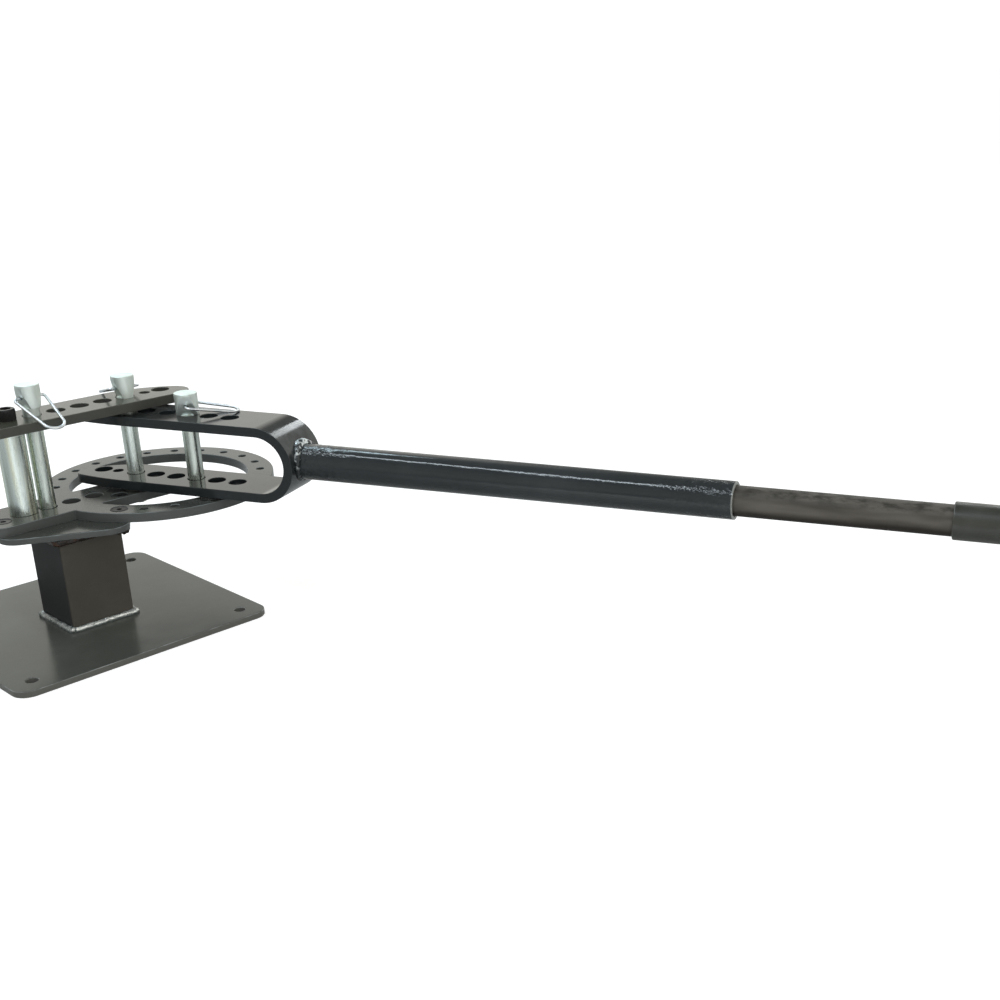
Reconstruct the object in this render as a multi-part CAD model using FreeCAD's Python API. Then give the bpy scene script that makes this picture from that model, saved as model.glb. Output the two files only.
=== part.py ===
import FreeCAD, Part
import math
import os

# Bench bender for bars and tubes. All sizes are in millimetres and all angles in degrees.
# The origin is the centre of the base plate's underside, +Z is up and +X runs along the frame bar.

# Sizes of the base plate
base_side = 325.0
base_thickness = 8.0
base_corner_radius = 20.0
base_hole_diameter = 14.0
base_hole_edge_distance = 27.5

# Sizes of the column and its weld beads
column_side = 80.0
column_wall = 5.0
column_corner_radius = 3.0
column_centre_x = 3.0
column_centre_y = -1.5
column_height = 120.0
foot_weld_leg = 8.0
top_weld_leg = 8.5
weld_roundness = 0.6

# Sizes of the mounting plate, which is turned about the column's axis
mounting_plate_length = 149.0
mounting_plate_width = 115.0
mounting_plate_thickness = 8.0
mounting_plate_corner_radius = 26.0
mounting_plate_shift = -5.5
mounting_plate_angle = -29.0

# Countersunk screws between frame plate and mounting plate, placed in the mounting plate's own directions
screw_thread_diameter = 10.0
screw_head_diameter = 20.0
screw_head_sink = 0.2
screw_socket_width = 6.0
screw_socket_depth = 3.5
screw_clearance = 0.1
screw_right_end_distance = 10.5
screw_right_front_y = -18.5
screw_right_back_y = 40.0
screw_left_front_end_distance = 8.0
screw_left_front_y = -20.0
screw_left_back_end_distance = 21.5
screw_left_back_y = 32.0

# Place of the swing axis and the pitch of the pin holes along every bar
pivot_x = 109.0
pivot_y = 30.0
hole_pitch = 30.0
pin_hole_diameter = 22.0

# Outline of the frame bars. The nose's offset is its distance from the bar's middle line.
bar_width = 70.0
bar_thickness = 12.0
bar_end_beyond_clamp = 58.0
bar_tail_corner_radius = 22.0
bar_nose_reach = 78.6
bar_nose_radius = 22.0
bar_nose_offset = -13.0
taper_start = -10.0
nose_small_hole_reach = 27.0
nose_small_hole_diameter = 13.0
nose_large_hole_reach = 49.0
frame_hole_count = 4
frame_pin_index = 4
clamp_screw_index = 5

# Lower frame plate: a tail that widens into an indexing ring
frame_plate_thickness = 12.0
frame_tail_width = 76.0
ring_outer_diameter = 288.6
ring_width = 33.3
ring_offset_x = 33.6
ring_offset_y = 3.7
rim_hole_edge_distance = 17.0
rim_hole_diameter = 10.4
rim_hole_count = 22
rim_hole_first_angle = 2.4
rim_plain_from = 158.0
rim_plain_to = 225.0
opening_corner_radius = 4.0

# Yoke: a flat bar bent to a U round the swing axis
yoke_rest_angle = -65.4
yoke_bend_radius = 48.25
yoke_thickness = 12.0
yoke_straight_length = 204.0
yoke_nose_reach = 76.0
yoke_nose_radius = 16.0
yoke_nose_offset = 12.0
yoke_hole_count = 5
yoke_pin_index = 3
washer_thickness = 4.2
washer_diameter = 37.0
washer_bore_clearance = 0.5
running_gap = 0.3

# Spacer sleeve and socket-head clamp screw
sleeve_diameter = 32.5
sleeve_bore_diameter = 15.0
clamp_thread_diameter = 14.0
clamp_head_diameter = 21.0
clamp_head_height = 14.0
clamp_head_edge = 0.8
clamp_socket_width = 12.0
clamp_socket_depth = 7.0
clamp_thread_clearance = 0.1

# Pins: shank, head with two slanted flats and a cross hole
pin_diameter = 20.0
pin_tip_chamfer = 2.0
long_pin_reach = 10.5
yoke_pin_reach = 1.0
pin_head_diameter = 28.0
pin_head_height = 28.0
pin_head_edge = 0.8
pin_head_foot_width = 12.5
pin_head_land = 3.0
cross_hole_height = 12.0
cross_hole_diameter = 5.0

# Wire bails through the cross holes
bail_wire_diameter = 3.5
bail_length = 62.0
bail_base_half_width = 20.0
bail_corner_radius = 5.0
bail_tip_radius = 13.0
bail_end_gap = 2.0
bail_rest_clearance = 0.3
frame_bail_angle = 6.0
pivot_bail_angle = -188.0
yoke_bail_angle = 54.0

# Handle: tube, sliding extension, grip and end cap
handle_tube_diameter = 44.5
handle_tube_wall = 4.0
handle_tube_end = 802.0
handle_weld_leg = 7.0
extension_diameter = 35.7
extension_wall = 3.2
extension_overlap = 260.0
grip_start = 1047.0
grip_length = 130.0
grip_diameter = 42.6
grip_clearance = 0.1
end_cap_flange = 3.0
end_cap_plug_length = 14.0
end_cap_clearance = 0.2

# Heights and places that follow from the sizes above
axis_z = FreeCAD.Vector(0, 0, 1)
column_foot_z = base_thickness
column_top_z = column_foot_z + column_height
mounting_top_z = column_top_z + mounting_plate_thickness
frame_top_z = mounting_top_z + frame_plate_thickness
yoke_height = 2 * yoke_bend_radius
yoke_bottom_z = frame_top_z + washer_thickness + running_gap
yoke_top_z = yoke_bottom_z + yoke_height
yoke_middle_z = (yoke_bottom_z + yoke_top_z) / 2
bar_bottom_z = yoke_top_z + washer_thickness + running_gap
bar_top_z = bar_bottom_z + bar_thickness
column_place = FreeCAD.Vector(column_centre_x, column_centre_y, 0)
pivot_place = FreeCAD.Vector(pivot_x, pivot_y, 0)
ring_centre = pivot_place + FreeCAD.Vector(ring_offset_x, ring_offset_y, 0)
ring_inner_diameter = ring_outer_diameter - 2 * ring_width
rim_hole_circle_diameter = ring_outer_diameter - 2 * rim_hole_edge_distance
half_width = bar_width / 2
bar_nose = (bar_nose_reach, bar_nose_radius, bar_nose_offset)
yoke_nose = (yoke_nose_reach, yoke_nose_radius, yoke_nose_offset)
arc_tolerance = 1e-6
bar_tail_reach = clamp_screw_index * hole_pitch + bar_end_beyond_clamp
wire_radius = bail_wire_diameter / 2
long_pin_length = bar_top_z - mounting_top_z + long_pin_reach
yoke_pin_length = yoke_height + yoke_pin_reach


def vertical_cylinder(diameter, low, high, place=FreeCAD.Vector(0, 0, 0)):
    foot = FreeCAD.Vector(place.x, place.y, low)
    return Part.makeCylinder(diameter / 2, high - low, foot, axis_z)


def upright_edges(shape):
    return [edge for edge in shape.Edges if is_upright(edge)]


def is_upright(edge):
    box = edge.BoundBox
    return box.ZLength > 10 * max(box.XLength, box.YLength)


def rounded_block(length, width, low, high, radius):
    corner = FreeCAD.Vector(-length / 2, -width / 2, low)
    block = Part.makeBox(length, width, high - low, corner)
    return block.makeFillet(radius, upright_edges(block))


def edges_at_height(shape, height):
    tolerance = 1e-6
    found = []
    for edge in shape.Edges:
        box = edge.BoundBox
        if abs(box.ZMin - height) < tolerance and abs(box.ZMax - height) < tolerance:
            found.append(edge)
    return found


def arc_edge(centre, radius, start, end):
    points = []
    for angle in (start, (start + end) / 2, end):
        turn = math.radians(angle)
        points.append(centre + FreeCAD.Vector(radius * math.cos(turn), radius * math.sin(turn), 0))
    return Part.Arc(*points).toShape()


def plate_from_edges(edges, low, high):
    outline = Part.Wire(Part.__sortEdges__(edges))
    face = Part.Face(outline)
    face.translate(FreeCAD.Vector(0, 0, low))
    return face.extrude(FreeCAD.Vector(0, 0, high - low))


def hexagon_socket(width, bottom, top):
    corner_radius = width / 2 / math.cos(math.radians(30))
    points = []
    for side in range(7):
        turn = math.radians(60 * side)
        points.append(FreeCAD.Vector(corner_radius * math.cos(turn), corner_radius * math.sin(turn), bottom))
    return Part.Face(Part.makePolygon(points)).extrude(FreeCAD.Vector(0, 0, top - bottom))


# One side of a nosed bar, from the start of its taper to the nose. The taper is a large arc tangent to
# the bar's side and to the nose; where the nose already touches the side it runs straight.
def nose_side(side, nose_centre, nose_radius):
    drop = half_width - side * nose_centre.y
    side_start = FreeCAD.Vector(taper_start, side * half_width, 0)
    if drop - nose_radius < arc_tolerance:
        side_end = FreeCAD.Vector(nose_centre.x, side * half_width, 0)
        return Part.makeLine(side_start, side_end), side * 90
    run = nose_centre.x - taper_start
    taper_radius = (run ** 2 + drop ** 2 - nose_radius ** 2) / (2 * (drop - nose_radius))
    taper_centre = FreeCAD.Vector(taper_start, side * (half_width - taper_radius), 0)
    towards = nose_centre - taper_centre
    tangent_angle = math.degrees(math.atan2(towards.y, towards.x))
    return arc_edge(taper_centre, taper_radius, tangent_angle, side * 90), tangent_angle


# One bar with a tapered, rounded nose to the right of the swing axis
def nosed_bar(tail_reach, tail_radius, nose, low, high):
    nose_reach, nose_radius, nose_offset = nose
    nose_centre = FreeCAD.Vector(nose_reach - nose_radius, nose_offset, 0)
    front_edge, front_angle = nose_side(-1, nose_centre, nose_radius)
    back_edge, back_angle = nose_side(1, nose_centre, nose_radius)
    edges = [front_edge, arc_edge(nose_centre, nose_radius, front_angle, back_angle), back_edge]
    tail_x = -tail_reach + tail_radius
    corner_y = half_width - tail_radius
    if tail_radius > 0:
        for side, start in ((1, 90), (-1, 180)):
            centre = FreeCAD.Vector(tail_x, side * corner_y, 0)
            edges.append(arc_edge(centre, tail_radius, start, start + 90))
    for side in (-1, 1):
        side_start = FreeCAD.Vector(taper_start, side * half_width, 0)
        edges.append(Part.makeLine(FreeCAD.Vector(tail_x, side * half_width, 0), side_start))
    tail_back = FreeCAD.Vector(-tail_reach, corner_y, 0)
    edges.append(Part.makeLine(tail_back, FreeCAD.Vector(-tail_reach, -corner_y, 0)))
    return plate_from_edges(edges, low, high)


def nose_holes(low, high):
    small = FreeCAD.Vector(nose_small_hole_reach, 0, 0)
    large = FreeCAD.Vector(nose_large_hole_reach, 0, 0)
    return [
        vertical_cylinder(pin_hole_diameter, low, high),
        vertical_cylinder(nose_small_hole_diameter, low, high, small),
        vertical_cylinder(pin_hole_diameter, low, high, large),
    ]


def save(name, shape):
    shape.exportStep(os.path.join("parts", name + ".step"))


os.makedirs("parts", exist_ok=True)

# Base plate with its four bolt holes
base_plate = rounded_block(base_side, base_side, 0, base_thickness, base_corner_radius)
base_hole_place = base_side / 2 - base_hole_edge_distance
for sign_x in (-1, 1):
    for sign_y in (-1, 1):
        place = FreeCAD.Vector(sign_x * base_hole_place, sign_y * base_hole_place, 0)
        base_plate = base_plate.cut(vertical_cylinder(base_hole_diameter, 0, base_thickness, place))
save("base_plate", base_plate)

# Column: a square tube
column_outside = rounded_block(column_side, column_side, column_foot_z, column_top_z, column_corner_radius)
column_bore_side = column_side - 2 * column_wall
column_bore_radius = max(column_corner_radius - column_wall, column_wall / 10)
column_bore = rounded_block(
    column_bore_side,
    column_bore_side,
    column_foot_z,
    column_top_z,
    column_bore_radius,
)
column_outside.translate(column_place)
column_bore.translate(column_place)
save("column", column_outside.cut(column_bore))


# Fillet weld round the column, with its rounded edge away from the plate it joins
def column_weld(leg, plate_z, away):
    low = min(plate_z, plate_z + away * leg)
    side = column_side + 2 * leg
    bead = rounded_block(side, side, low, low + leg, column_corner_radius + leg)
    edges = edges_at_height(bead, plate_z + away * leg)
    bead = bead.makeFillet(weld_roundness * leg, edges)
    bead.translate(column_place)
    return bead.cut(column_outside)


save("column_foot_weld", column_weld(foot_weld_leg, column_foot_z, 1))
save("column_top_weld", column_weld(top_weld_leg, column_top_z, -1))

# Mounting screws, their threads in the mounting plate and their heads flush in the frame plate
screw_places = []
mounting_turn = FreeCAD.Rotation(axis_z, mounting_plate_angle)
mounting_left_x = mounting_plate_shift - mounting_plate_length / 2
mounting_right_x = mounting_plate_shift + mounting_plate_length / 2
screw_right_x = mounting_right_x - screw_right_end_distance
screw_left_front_x = mounting_left_x + screw_left_front_end_distance
screw_left_back_x = mounting_left_x + screw_left_back_end_distance
for local_x, local_y in (
    (screw_right_x, screw_right_front_y),
    (screw_right_x, screw_right_back_y),
    (screw_left_front_x, screw_left_front_y),
    (screw_left_back_x, screw_left_back_y),
):
    screw_places.append(mounting_turn.multVec(FreeCAD.Vector(local_x, local_y, 0)))


def countersunk_body(extra):
    thread_radius = screw_thread_diameter / 2 + extra
    head_radius = screw_head_diameter / 2 + extra
    head_top = frame_top_z - screw_head_sink
    head_foot = head_top - (head_radius - thread_radius)
    shank = Part.makeCylinder(thread_radius, head_foot - column_top_z, FreeCAD.Vector(0, 0, column_top_z))
    head = Part.makeCone(thread_radius, head_radius, head_top - head_foot, FreeCAD.Vector(0, 0, head_foot))
    return shank.fuse(head)


screw = countersunk_body(0)
screw_head_top = frame_top_z - screw_head_sink
screw_socket = hexagon_socket(screw_socket_width, screw_head_top - screw_socket_depth, screw_head_top)
screw = screw.cut(screw_socket)
screw_hole = countersunk_body(screw_clearance)
screw_mouth_diameter = screw_head_diameter + 2 * screw_clearance
screw_hole = screw_hole.fuse(vertical_cylinder(screw_mouth_diameter, screw_head_top, frame_top_z))
mounting_screws = []
screw_holes = []
for place in screw_places:
    one_screw = screw.copy()
    one_screw.translate(place)
    mounting_screws.append(one_screw)
    one_hole = screw_hole.copy()
    one_hole.translate(place)
    screw_holes.append(one_hole)
save("mounting_screws", Part.makeCompound(mounting_screws))

# Mounting plate
mounting_plate = rounded_block(
    mounting_plate_length,
    mounting_plate_width,
    column_top_z,
    mounting_top_z,
    mounting_plate_corner_radius,
)
mounting_plate.translate(FreeCAD.Vector(mounting_plate_shift, 0, 0))
mounting_plate.rotate(FreeCAD.Vector(0, 0, 0), axis_z, mounting_plate_angle)
save("mounting_plate", mounting_plate.cut(screw_holes))

# Lower frame plate: tail and ring in one piece, the tongue with the pin holes reaching into the ring
ring = vertical_cylinder(ring_outer_diameter, mounting_top_z, frame_top_z, ring_centre)
tail = rounded_block(
    2 * bar_tail_reach,
    frame_tail_width,
    mounting_top_z,
    frame_top_z,
    bar_tail_corner_radius,
)
tail_end = Part.makeBox(
    bar_tail_reach,
    frame_tail_width,
    frame_plate_thickness,
    FreeCAD.Vector(-bar_tail_reach, -frame_tail_width / 2, mounting_top_z),
)
tail = tail.common(tail_end)
tail.translate(pivot_place)
tongue = nosed_bar(bar_tail_reach, 0, bar_nose, mounting_top_z, frame_top_z)
tongue.translate(pivot_place)
ring_inside = vertical_cylinder(ring_inner_diameter, mounting_top_z, frame_top_z, ring_centre)
opening = ring_inside.cut(tongue)
root_edges = []
for edge in upright_edges(opening):
    if edge.BoundBox.XMax < pivot_x + 2 * taper_start:
        root_edges.append(edge)
opening = opening.makeFillet(opening_corner_radius, root_edges)
tail_beside_opening = tail.cut(ring_inside)
frame_plate = ring.cut(opening).fuse(tail_beside_opening)
frame_cutters = list(screw_holes)
for hole in nose_holes(mounting_top_z, frame_top_z):
    hole.translate(pivot_place)
    frame_cutters.append(hole)
for index in range(1, frame_hole_count + 1):
    place = pivot_place + FreeCAD.Vector(-index * hole_pitch, 0, 0)
    frame_cutters.append(vertical_cylinder(pin_hole_diameter, mounting_top_z, frame_top_z, place))
clamp_place = pivot_place + FreeCAD.Vector(-clamp_screw_index * hole_pitch, 0, 0)
clamp_hole_diameter = clamp_thread_diameter + 2 * clamp_thread_clearance
frame_cutters.append(vertical_cylinder(clamp_hole_diameter, mounting_top_z, frame_top_z, clamp_place))
for index in range(rim_hole_count):
    angle = rim_hole_first_angle + index * 360.0 / rim_hole_count
    if not rim_plain_from < angle < rim_plain_to:
        turn = math.radians(angle)
        reach = rim_hole_circle_diameter / 2
        place = ring_centre + FreeCAD.Vector(reach * math.cos(turn), reach * math.sin(turn), 0)
        frame_cutters.append(vertical_cylinder(rim_hole_diameter, mounting_top_z, frame_top_z, place))
frame_plate = frame_plate.cut(frame_cutters).removeSplitter()
save("lower_frame_plate", frame_plate)

# Upper bar with the same row of pin holes
upper_bar = nosed_bar(bar_tail_reach, bar_tail_corner_radius, bar_nose, bar_bottom_z, bar_top_z)
bar_cutters = nose_holes(bar_bottom_z, bar_top_z)
for index in range(1, frame_hole_count + 1):
    place = FreeCAD.Vector(-index * hole_pitch, 0, 0)
    bar_cutters.append(vertical_cylinder(pin_hole_diameter, bar_bottom_z, bar_top_z, place))
clamp_local = FreeCAD.Vector(-clamp_screw_index * hole_pitch, 0, 0)
bar_cutters.append(vertical_cylinder(sleeve_bore_diameter, bar_bottom_z, bar_top_z, clamp_local))
upper_bar = upper_bar.cut(bar_cutters)
upper_bar.translate(pivot_place)
save("upper_bar", upper_bar)

# Spacer sleeve and the clamp screw that pulls both bars against it
sleeve = vertical_cylinder(sleeve_diameter, frame_top_z, bar_bottom_z, clamp_place)
sleeve = sleeve.cut(vertical_cylinder(sleeve_bore_diameter, frame_top_z, bar_bottom_z, clamp_place))
save("spacer_sleeve", sleeve)
clamp_head_top = bar_top_z + clamp_head_height
clamp_head = vertical_cylinder(clamp_head_diameter, bar_top_z, clamp_head_top)
clamp_head = clamp_head.makeChamfer(clamp_head_edge, edges_at_height(clamp_head, clamp_head_top))
clamp_screw = clamp_head.fuse(vertical_cylinder(clamp_thread_diameter, mounting_top_z, bar_top_z))
clamp_screw = clamp_screw.cut(
    hexagon_socket(clamp_socket_width, clamp_head_top - clamp_socket_depth, clamp_head_top)
)
clamp_screw = clamp_screw.removeSplitter()
clamp_screw.translate(clamp_place)
save("clamp_screw", clamp_screw)

# Washers that carry the yoke in the middle of the gap between the frame bars
washer_bore = pin_diameter + 2 * washer_bore_clearance
for name, low in (("lower_pivot_washer", frame_top_z), ("upper_pivot_washer", yoke_top_z)):
    washer = vertical_cylinder(washer_diameter, low, low + washer_thickness, pivot_place)
    save(name, washer.cut(vertical_cylinder(washer_bore, low, low + washer_thickness, pivot_place)))


# Pin with its shank below z = 0 and its head above, the cross hole along X
def round_pin(length):
    shank = vertical_cylinder(pin_diameter, -length, 0)
    shank = shank.makeChamfer(pin_tip_chamfer, edges_at_height(shank, -length))
    head = vertical_cylinder(pin_head_diameter, 0, pin_head_height)
    head = head.makeFillet(pin_head_edge, edges_at_height(head, pin_head_height))
    foot = pin_head_foot_width / 2
    rim = pin_head_diameter / 2
    land = pin_head_height - pin_head_land
    for side in (-1, 1):
        points = [
            FreeCAD.Vector(side * foot, -pin_head_diameter, 0),
            FreeCAD.Vector(side * rim, -pin_head_diameter, land),
            FreeCAD.Vector(side * 2 * rim, -pin_head_diameter, land),
            FreeCAD.Vector(side * 2 * rim, -pin_head_diameter, 0),
            FreeCAD.Vector(side * foot, -pin_head_diameter, 0),
        ]
        flat = Part.Face(Part.makePolygon(points))
        head = head.cut(flat.extrude(FreeCAD.Vector(0, 2 * pin_head_diameter, 0)))
    cross_foot = FreeCAD.Vector(-pin_head_diameter, 0, cross_hole_height)
    cross_hole = Part.makeCylinder(
        cross_hole_diameter / 2,
        2 * pin_head_diameter,
        cross_foot,
        FreeCAD.Vector(1, 0, 0),
    )
    return shank.fuse(head).cut(cross_hole).removeSplitter()


# Bail: one bent wire whose two ends meet inside the cross hole. It is drawn in the XY plane with the
# cross hole along X, and its tip arc is tangent to both arms.
def wire_bail():
    tip_centre = FreeCAD.Vector(0, -(bail_length - bail_tip_radius), 0)
    reach = tip_centre.Length
    slope_run = bail_base_half_width - bail_tip_radius
    tangent_turn = math.degrees(math.asin(slope_run / math.hypot(bail_base_half_width, reach)))
    aim = math.degrees(math.atan2(reach, bail_base_half_width))
    swing = math.degrees(math.asin(bail_tip_radius / math.hypot(bail_base_half_width, reach)))
    arm_angle = -(180 - aim) + swing
    arm_direction = FreeCAD.Vector(math.cos(math.radians(arm_angle)), math.sin(math.radians(arm_angle)), 0)
    arm_length = math.sqrt(bail_base_half_width ** 2 + reach ** 2 - bail_tip_radius ** 2)
    corner = FreeCAD.Vector(bail_base_half_width, 0, 0)
    tangent_point = corner + arm_direction * arm_length
    corner_angle = math.radians(-arm_angle)
    setback = bail_corner_radius * math.tan((math.pi - (math.pi - corner_angle)) / 2)
    base_stop = corner - FreeCAD.Vector(setback, 0, 0)
    arm_start = corner + arm_direction * setback
    corner_centre = base_stop - FreeCAD.Vector(0, bail_corner_radius, 0)
    towards = corner - corner_centre
    corner_middle = corner_centre + towards * (bail_corner_radius / towards.Length)
    tip = FreeCAD.Vector(0, -bail_length, 0)

    def mirrored(point):
        return FreeCAD.Vector(-point.x, point.y, point.z)

    start = FreeCAD.Vector(bail_end_gap / 2, 0, 0)
    edges = [
        Part.makeLine(start, base_stop),
        Part.Arc(base_stop, corner_middle, arm_start).toShape(),
        Part.makeLine(arm_start, tangent_point),
        Part.Arc(tangent_point, tip, mirrored(tangent_point)).toShape(),
        Part.makeLine(mirrored(tangent_point), mirrored(arm_start)),
        Part.Arc(mirrored(arm_start), mirrored(corner_middle), mirrored(base_stop)).toShape(),
        Part.makeLine(mirrored(base_stop), mirrored(start)),
    ]
    path = Part.Wire(edges)
    section = Part.Wire(Part.makeCircle(wire_radius, start, FreeCAD.Vector(1, 0, 0)))
    return path.makePipeShell([section], True, False, 2)


# Angle below the horizontal at which a bail leans on the bar's edge or lies on a face below its cross
# hole. Where the pin is turned a little, the arm that meets the edge last decides.
def lean_on_edge(height, turn):
    slant = math.atan(math.tan(math.radians(turn)))
    distance = half_width / math.cos(slant) + bail_base_half_width * abs(math.tan(slant))
    free_height = height - bail_rest_clearance
    angle = math.atan2(free_height, distance)
    for step in range(20):
        angle = math.atan2(free_height - wire_radius / math.cos(angle), distance)
    return math.degrees(angle)


def lie_on_face(height):
    return math.degrees(math.asin((height - bail_rest_clearance - wire_radius) / bail_length))


def place_pin(name, length, place, head_foot_z, turn, lean):
    pin = round_pin(length)
    bail = wire_bail()
    bail.rotate(FreeCAD.Vector(0, 0, 0), FreeCAD.Vector(1, 0, 0), lean)
    bail.translate(FreeCAD.Vector(0, 0, cross_hole_height))
    for shape, node in ((pin, name), (bail, name + "_bail")):
        shape.rotate(FreeCAD.Vector(0, 0, 0), axis_z, turn)
        shape.translate(FreeCAD.Vector(place.x, place.y, head_foot_z))
        save(node, shape)


# Frame pin: it stands on the mounting plate, so its head stays above the bar
frame_pin_place = pivot_place + FreeCAD.Vector(-frame_pin_index * hole_pitch, 0, 0)
frame_head_z = mounting_top_z + long_pin_length
frame_lean = lean_on_edge(frame_head_z + cross_hole_height - bar_top_z, frame_bail_angle)
place_pin("frame_pin", long_pin_length, frame_pin_place, frame_head_z, frame_bail_angle, frame_lean)

# Pivot pin: its head rests on the upper bar and the yoke swings on its shank
pivot_lean = lean_on_edge(cross_hole_height, pivot_bail_angle)
place_pin("pivot_pin", long_pin_length, pivot_place, bar_top_z, pivot_bail_angle, pivot_lean)

# Yoke pin: its head rests on the yoke's upper leg
yoke_turn = FreeCAD.Rotation(axis_z, yoke_rest_angle)
yoke_pin_place = pivot_place + yoke_turn.multVec(FreeCAD.Vector(yoke_pin_index * hole_pitch, 0, 0))
yoke_lean = lie_on_face(cross_hole_height)
place_pin("yoke_pin", yoke_pin_length, yoke_pin_place, yoke_top_z, yoke_bail_angle, yoke_lean)


# Pieces that swing are drawn along +X from the swing axis, then turned to their place at rest
def save_on_yoke(name, shape):
    placed = shape.copy()
    placed.rotate(FreeCAD.Vector(0, 0, 0), axis_z, yoke_rest_angle)
    placed.translate(pivot_place)
    save(name, placed)


# Yoke: two legs with tapered noses behind the axis, joined by a half-round bend
def yoke_leg(low):
    leg = nosed_bar(yoke_straight_length, 0, yoke_nose, low, low + yoke_thickness)
    leg.rotate(FreeCAD.Vector(0, 0, 0), axis_z, 180)
    return leg


bend_centre = FreeCAD.Vector(yoke_straight_length, 0, yoke_middle_z)
bend_section = Part.Face(Part.makePolygon([
    FreeCAD.Vector(yoke_straight_length, -half_width, yoke_top_z - yoke_thickness),
    FreeCAD.Vector(yoke_straight_length, half_width, yoke_top_z - yoke_thickness),
    FreeCAD.Vector(yoke_straight_length, half_width, yoke_top_z),
    FreeCAD.Vector(yoke_straight_length, -half_width, yoke_top_z),
    FreeCAD.Vector(yoke_straight_length, -half_width, yoke_top_z - yoke_thickness),
]))
bend = bend_section.revolve(bend_centre, FreeCAD.Vector(0, 1, 0), 180)
yoke = yoke_leg(yoke_bottom_z).fuse([yoke_leg(yoke_top_z - yoke_thickness), bend]).removeSplitter()
yoke_cutters = []
for hole in nose_holes(yoke_bottom_z, yoke_top_z):
    hole.rotate(FreeCAD.Vector(0, 0, 0), axis_z, 180)
    yoke_cutters.append(hole)
for index in range(1, yoke_hole_count + 1):
    place = FreeCAD.Vector(index * hole_pitch, 0, 0)
    yoke_cutters.append(vertical_cylinder(pin_hole_diameter, yoke_bottom_z, yoke_top_z, place))
yoke = yoke.cut(yoke_cutters)
save_on_yoke("yoke", yoke)


# Handle parts lie on the bend's middle height, along the yoke
def along_handle(diameter, start, end):
    foot = FreeCAD.Vector(start, 0, yoke_middle_z)
    return Part.makeCylinder(diameter / 2, end - start, foot, FreeCAD.Vector(1, 0, 0))


def across_bend(radius, width):
    foot = bend_centre - FreeCAD.Vector(0, width / 2, 0)
    return Part.makeCylinder(radius, width, foot, FreeCAD.Vector(0, 1, 0))


bend_outside = across_bend(yoke_bend_radius, bar_width)
handle_outside = along_handle(handle_tube_diameter, yoke_straight_length, handle_tube_end)
handle_bore_diameter = handle_tube_diameter - 2 * handle_tube_wall
handle_bore = along_handle(handle_bore_diameter, yoke_straight_length, handle_tube_end)
save_on_yoke("handle_tube", handle_outside.cut([handle_bore, bend_outside]))

# Weld bead that follows the saddle between tube and bend
collar_end = yoke_straight_length + yoke_bend_radius + 2 * handle_weld_leg
collar_diameter = handle_tube_diameter + 2 * handle_weld_leg
collar = along_handle(collar_diameter, yoke_straight_length, collar_end)
yoke_weld = collar.common(across_bend(yoke_bend_radius + handle_weld_leg, bar_width))
rounded_edges = []
saddle_reach = yoke_straight_length + yoke_bend_radius / 2
for edge in yoke_weld.Edges:
    wide = edge.BoundBox.YLength > handle_tube_diameter
    if wide and edge.BoundBox.XMin > saddle_reach:
        rounded_edges.append(edge)
yoke_weld = yoke_weld.makeFillet(weld_roundness * handle_weld_leg, rounded_edges)
yoke_weld = yoke_weld.cut([handle_outside, bend_outside])
save_on_yoke("yoke_weld", yoke_weld)

# Extension tube, grip and end cap
extension_start = handle_tube_end - extension_overlap
grip_end = grip_start + grip_length
extension_bore_diameter = extension_diameter - 2 * extension_wall
extension = along_handle(extension_diameter, extension_start, grip_end)
extension = extension.cut(along_handle(extension_bore_diameter, extension_start, grip_end))
save_on_yoke("handle_extension", extension)
grip_bore_diameter = extension_diameter + 2 * grip_clearance
grip = along_handle(grip_diameter, grip_start, grip_end)
save_on_yoke("handle_grip", grip.cut(along_handle(grip_bore_diameter, grip_start, grip_end)))
end_cap = along_handle(grip_diameter, grip_end, grip_end + end_cap_flange)
plug_diameter = extension_bore_diameter - 2 * end_cap_clearance
end_cap = end_cap.fuse(along_handle(plug_diameter, grip_end - end_cap_plug_length, grip_end))
save_on_yoke("handle_end_cap", end_cap.removeSplitter())
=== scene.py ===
import math

import bmesh
import bpy
from mathutils import Matrix, Quaternion, Vector, noise


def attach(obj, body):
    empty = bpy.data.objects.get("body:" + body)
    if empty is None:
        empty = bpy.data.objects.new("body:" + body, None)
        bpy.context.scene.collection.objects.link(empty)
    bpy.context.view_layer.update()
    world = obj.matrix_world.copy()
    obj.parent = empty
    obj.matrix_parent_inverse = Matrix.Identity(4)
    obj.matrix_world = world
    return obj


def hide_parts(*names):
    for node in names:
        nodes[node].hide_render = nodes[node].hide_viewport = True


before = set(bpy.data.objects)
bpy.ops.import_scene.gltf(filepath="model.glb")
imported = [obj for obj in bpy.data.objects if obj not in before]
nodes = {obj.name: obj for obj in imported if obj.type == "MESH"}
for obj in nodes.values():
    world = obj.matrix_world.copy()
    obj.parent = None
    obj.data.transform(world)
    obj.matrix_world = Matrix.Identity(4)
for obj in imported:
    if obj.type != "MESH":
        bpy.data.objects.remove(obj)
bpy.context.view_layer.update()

MM = 0.001

# Two corners closer than this many metres are one
SAME_PLACE = 0.000005

# Places that the pieces share with the solids, in millimetres and radians
YOKE_ANGLE = math.radians(-65.4)
SWING_AXIS = Vector((109.0, 30.0, 0.0))
HANDLE_HEIGHT = 200.75
TUBE_RADIUS = 22.25
BEND_START = 204.0
BEND_RADIUS = 48.25
COLUMN_CENTRE = Vector((3.0, -1.5, 0.0))
COLUMN_HALF = 40.0
CLAMP_SCREW = Vector((-41.0, 30.0, 0.0))
CLAMP_HEAD = (265.5, 279.5)
BASE_TOP = 8.0
COLUMN_TOP = 128.0


# Shader node groups

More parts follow.
